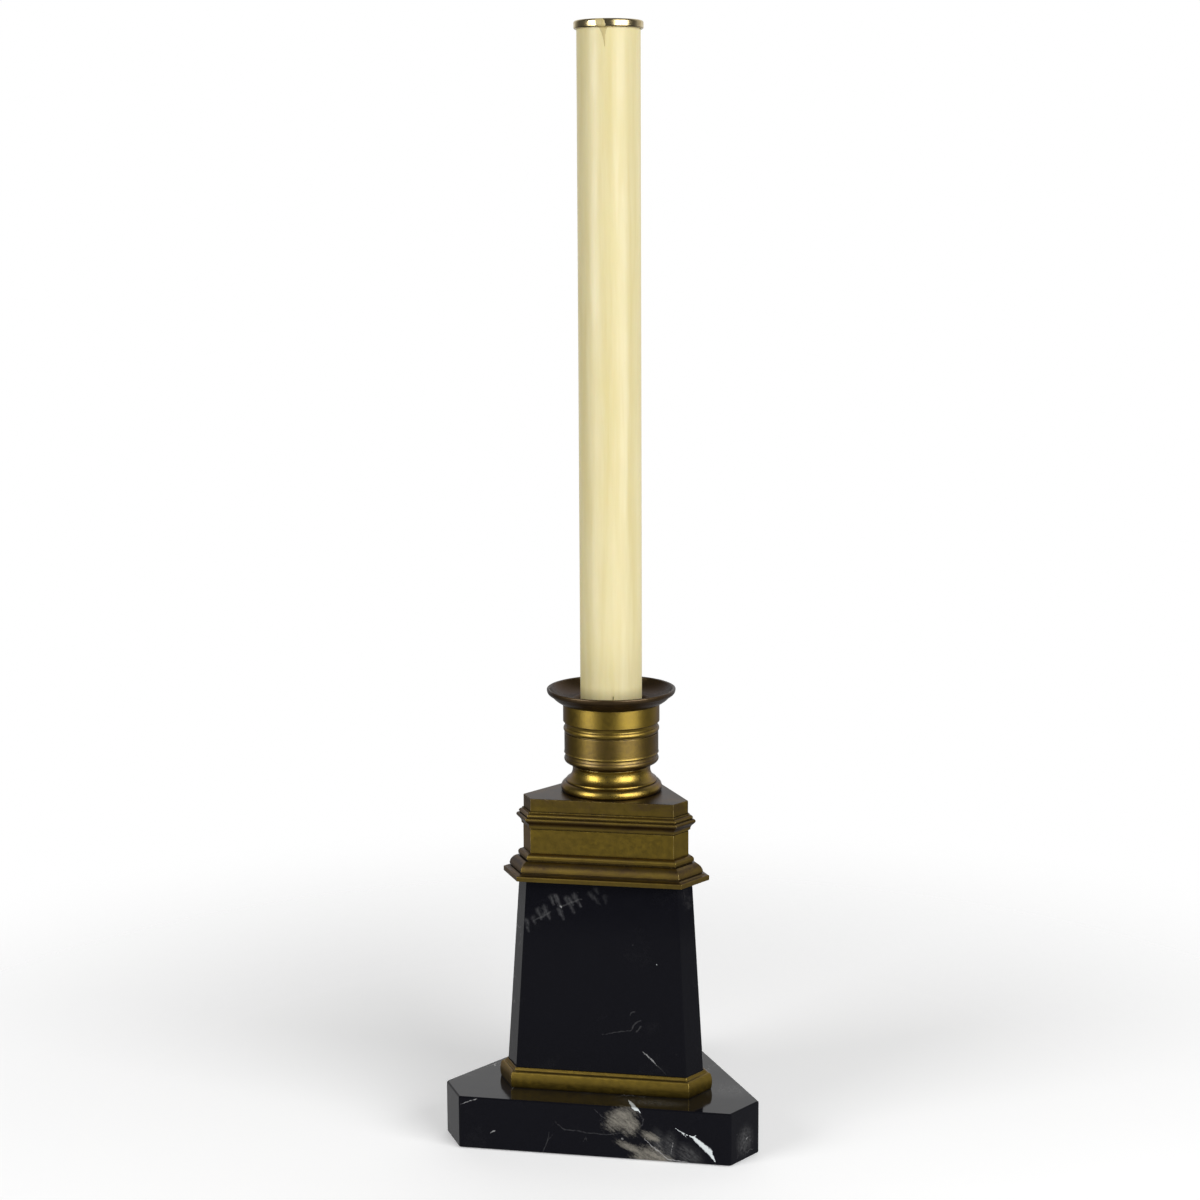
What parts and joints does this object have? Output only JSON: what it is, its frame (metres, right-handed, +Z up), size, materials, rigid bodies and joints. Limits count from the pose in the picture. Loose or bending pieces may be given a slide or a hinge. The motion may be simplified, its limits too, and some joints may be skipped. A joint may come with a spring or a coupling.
{
  "type": "candlestick",
  "caption": "Free-standing candlestick: a three-sided marble and brass stand with a drip pan and a tall spring-fed tube candle under a metal cap.",
  "frame": {"origin": "centre of the felt pad's underside, on the axis of the tie rod and the candle", "axes": "+Z up along the candle; -Y out of the stand's main long face; +X to that face's right as seen from the front"},
  "size_m": [0.1648, 0.1433, 0.572],
  "materials": {
    "antique_brass": "satin",
    "black_marble": "polished",
    "felt": "matte",
    "steel": "satin",
    "ivory_tube": "satin",
    "wax": "satin",
    "wick_cotton": "matte",
    "polished_cap": "polished"
  },
  "bodies": {
    "stand": {"felt_pad": "felt", "marble_slab": "black_marble", "base_washer": "steel", "lock_washer": "steel", "base_nut": "steel", "tie_rod": "steel", "base_collar": "antique_brass", "marble_pedestal": "black_marble", "cornice_moulding": "antique_brass", "frieze_band": "antique_brass", "bead_moulding": "antique_brass", "capital_block": "antique_brass", "cup_foot": "antique_brass", "candle_cup": "antique_brass", "candle_holder": "antique_brass", "cup_washer": "steel", "cup_nut": "steel"},
    "drip_pan": {"drip_pan": "antique_brass"},
    "candle": {"candle_tube": "ivory_tube", "tube_plug": "ivory_tube", "feed_spring": "steel"},
    "refill": {"follower": "steel", "wax_refill": "wax", "wick": "wick_cotton"},
    "cap": {"candle_cap": "polished_cap"}
  },
  "joints": [
    {"name": "candle_lift", "type": "slide", "parent": "stand", "child": "candle", "axis": [0, 0, 1], "range_m": [0, 0.05]},
    {"name": "pan_lift", "type": "slide", "parent": "stand", "child": "drip_pan", "axis": [0, 0, 1], "range_m": [0, 0.36]},
    {"name": "cap_lift", "type": "slide", "parent": "candle", "child": "cap", "axis": [0, 0, 1], "range_m": [0, 0.02]},
    {"name": "refill_feed", "type": "slide", "parent": "candle", "child": "refill", "axis": [0, 0, 1], "range_m": [-0.15, 0], "stiffness_N_per_m": 20, "springref_m": 0.1, "deforming": ["feed_spring"]}
  ]
}
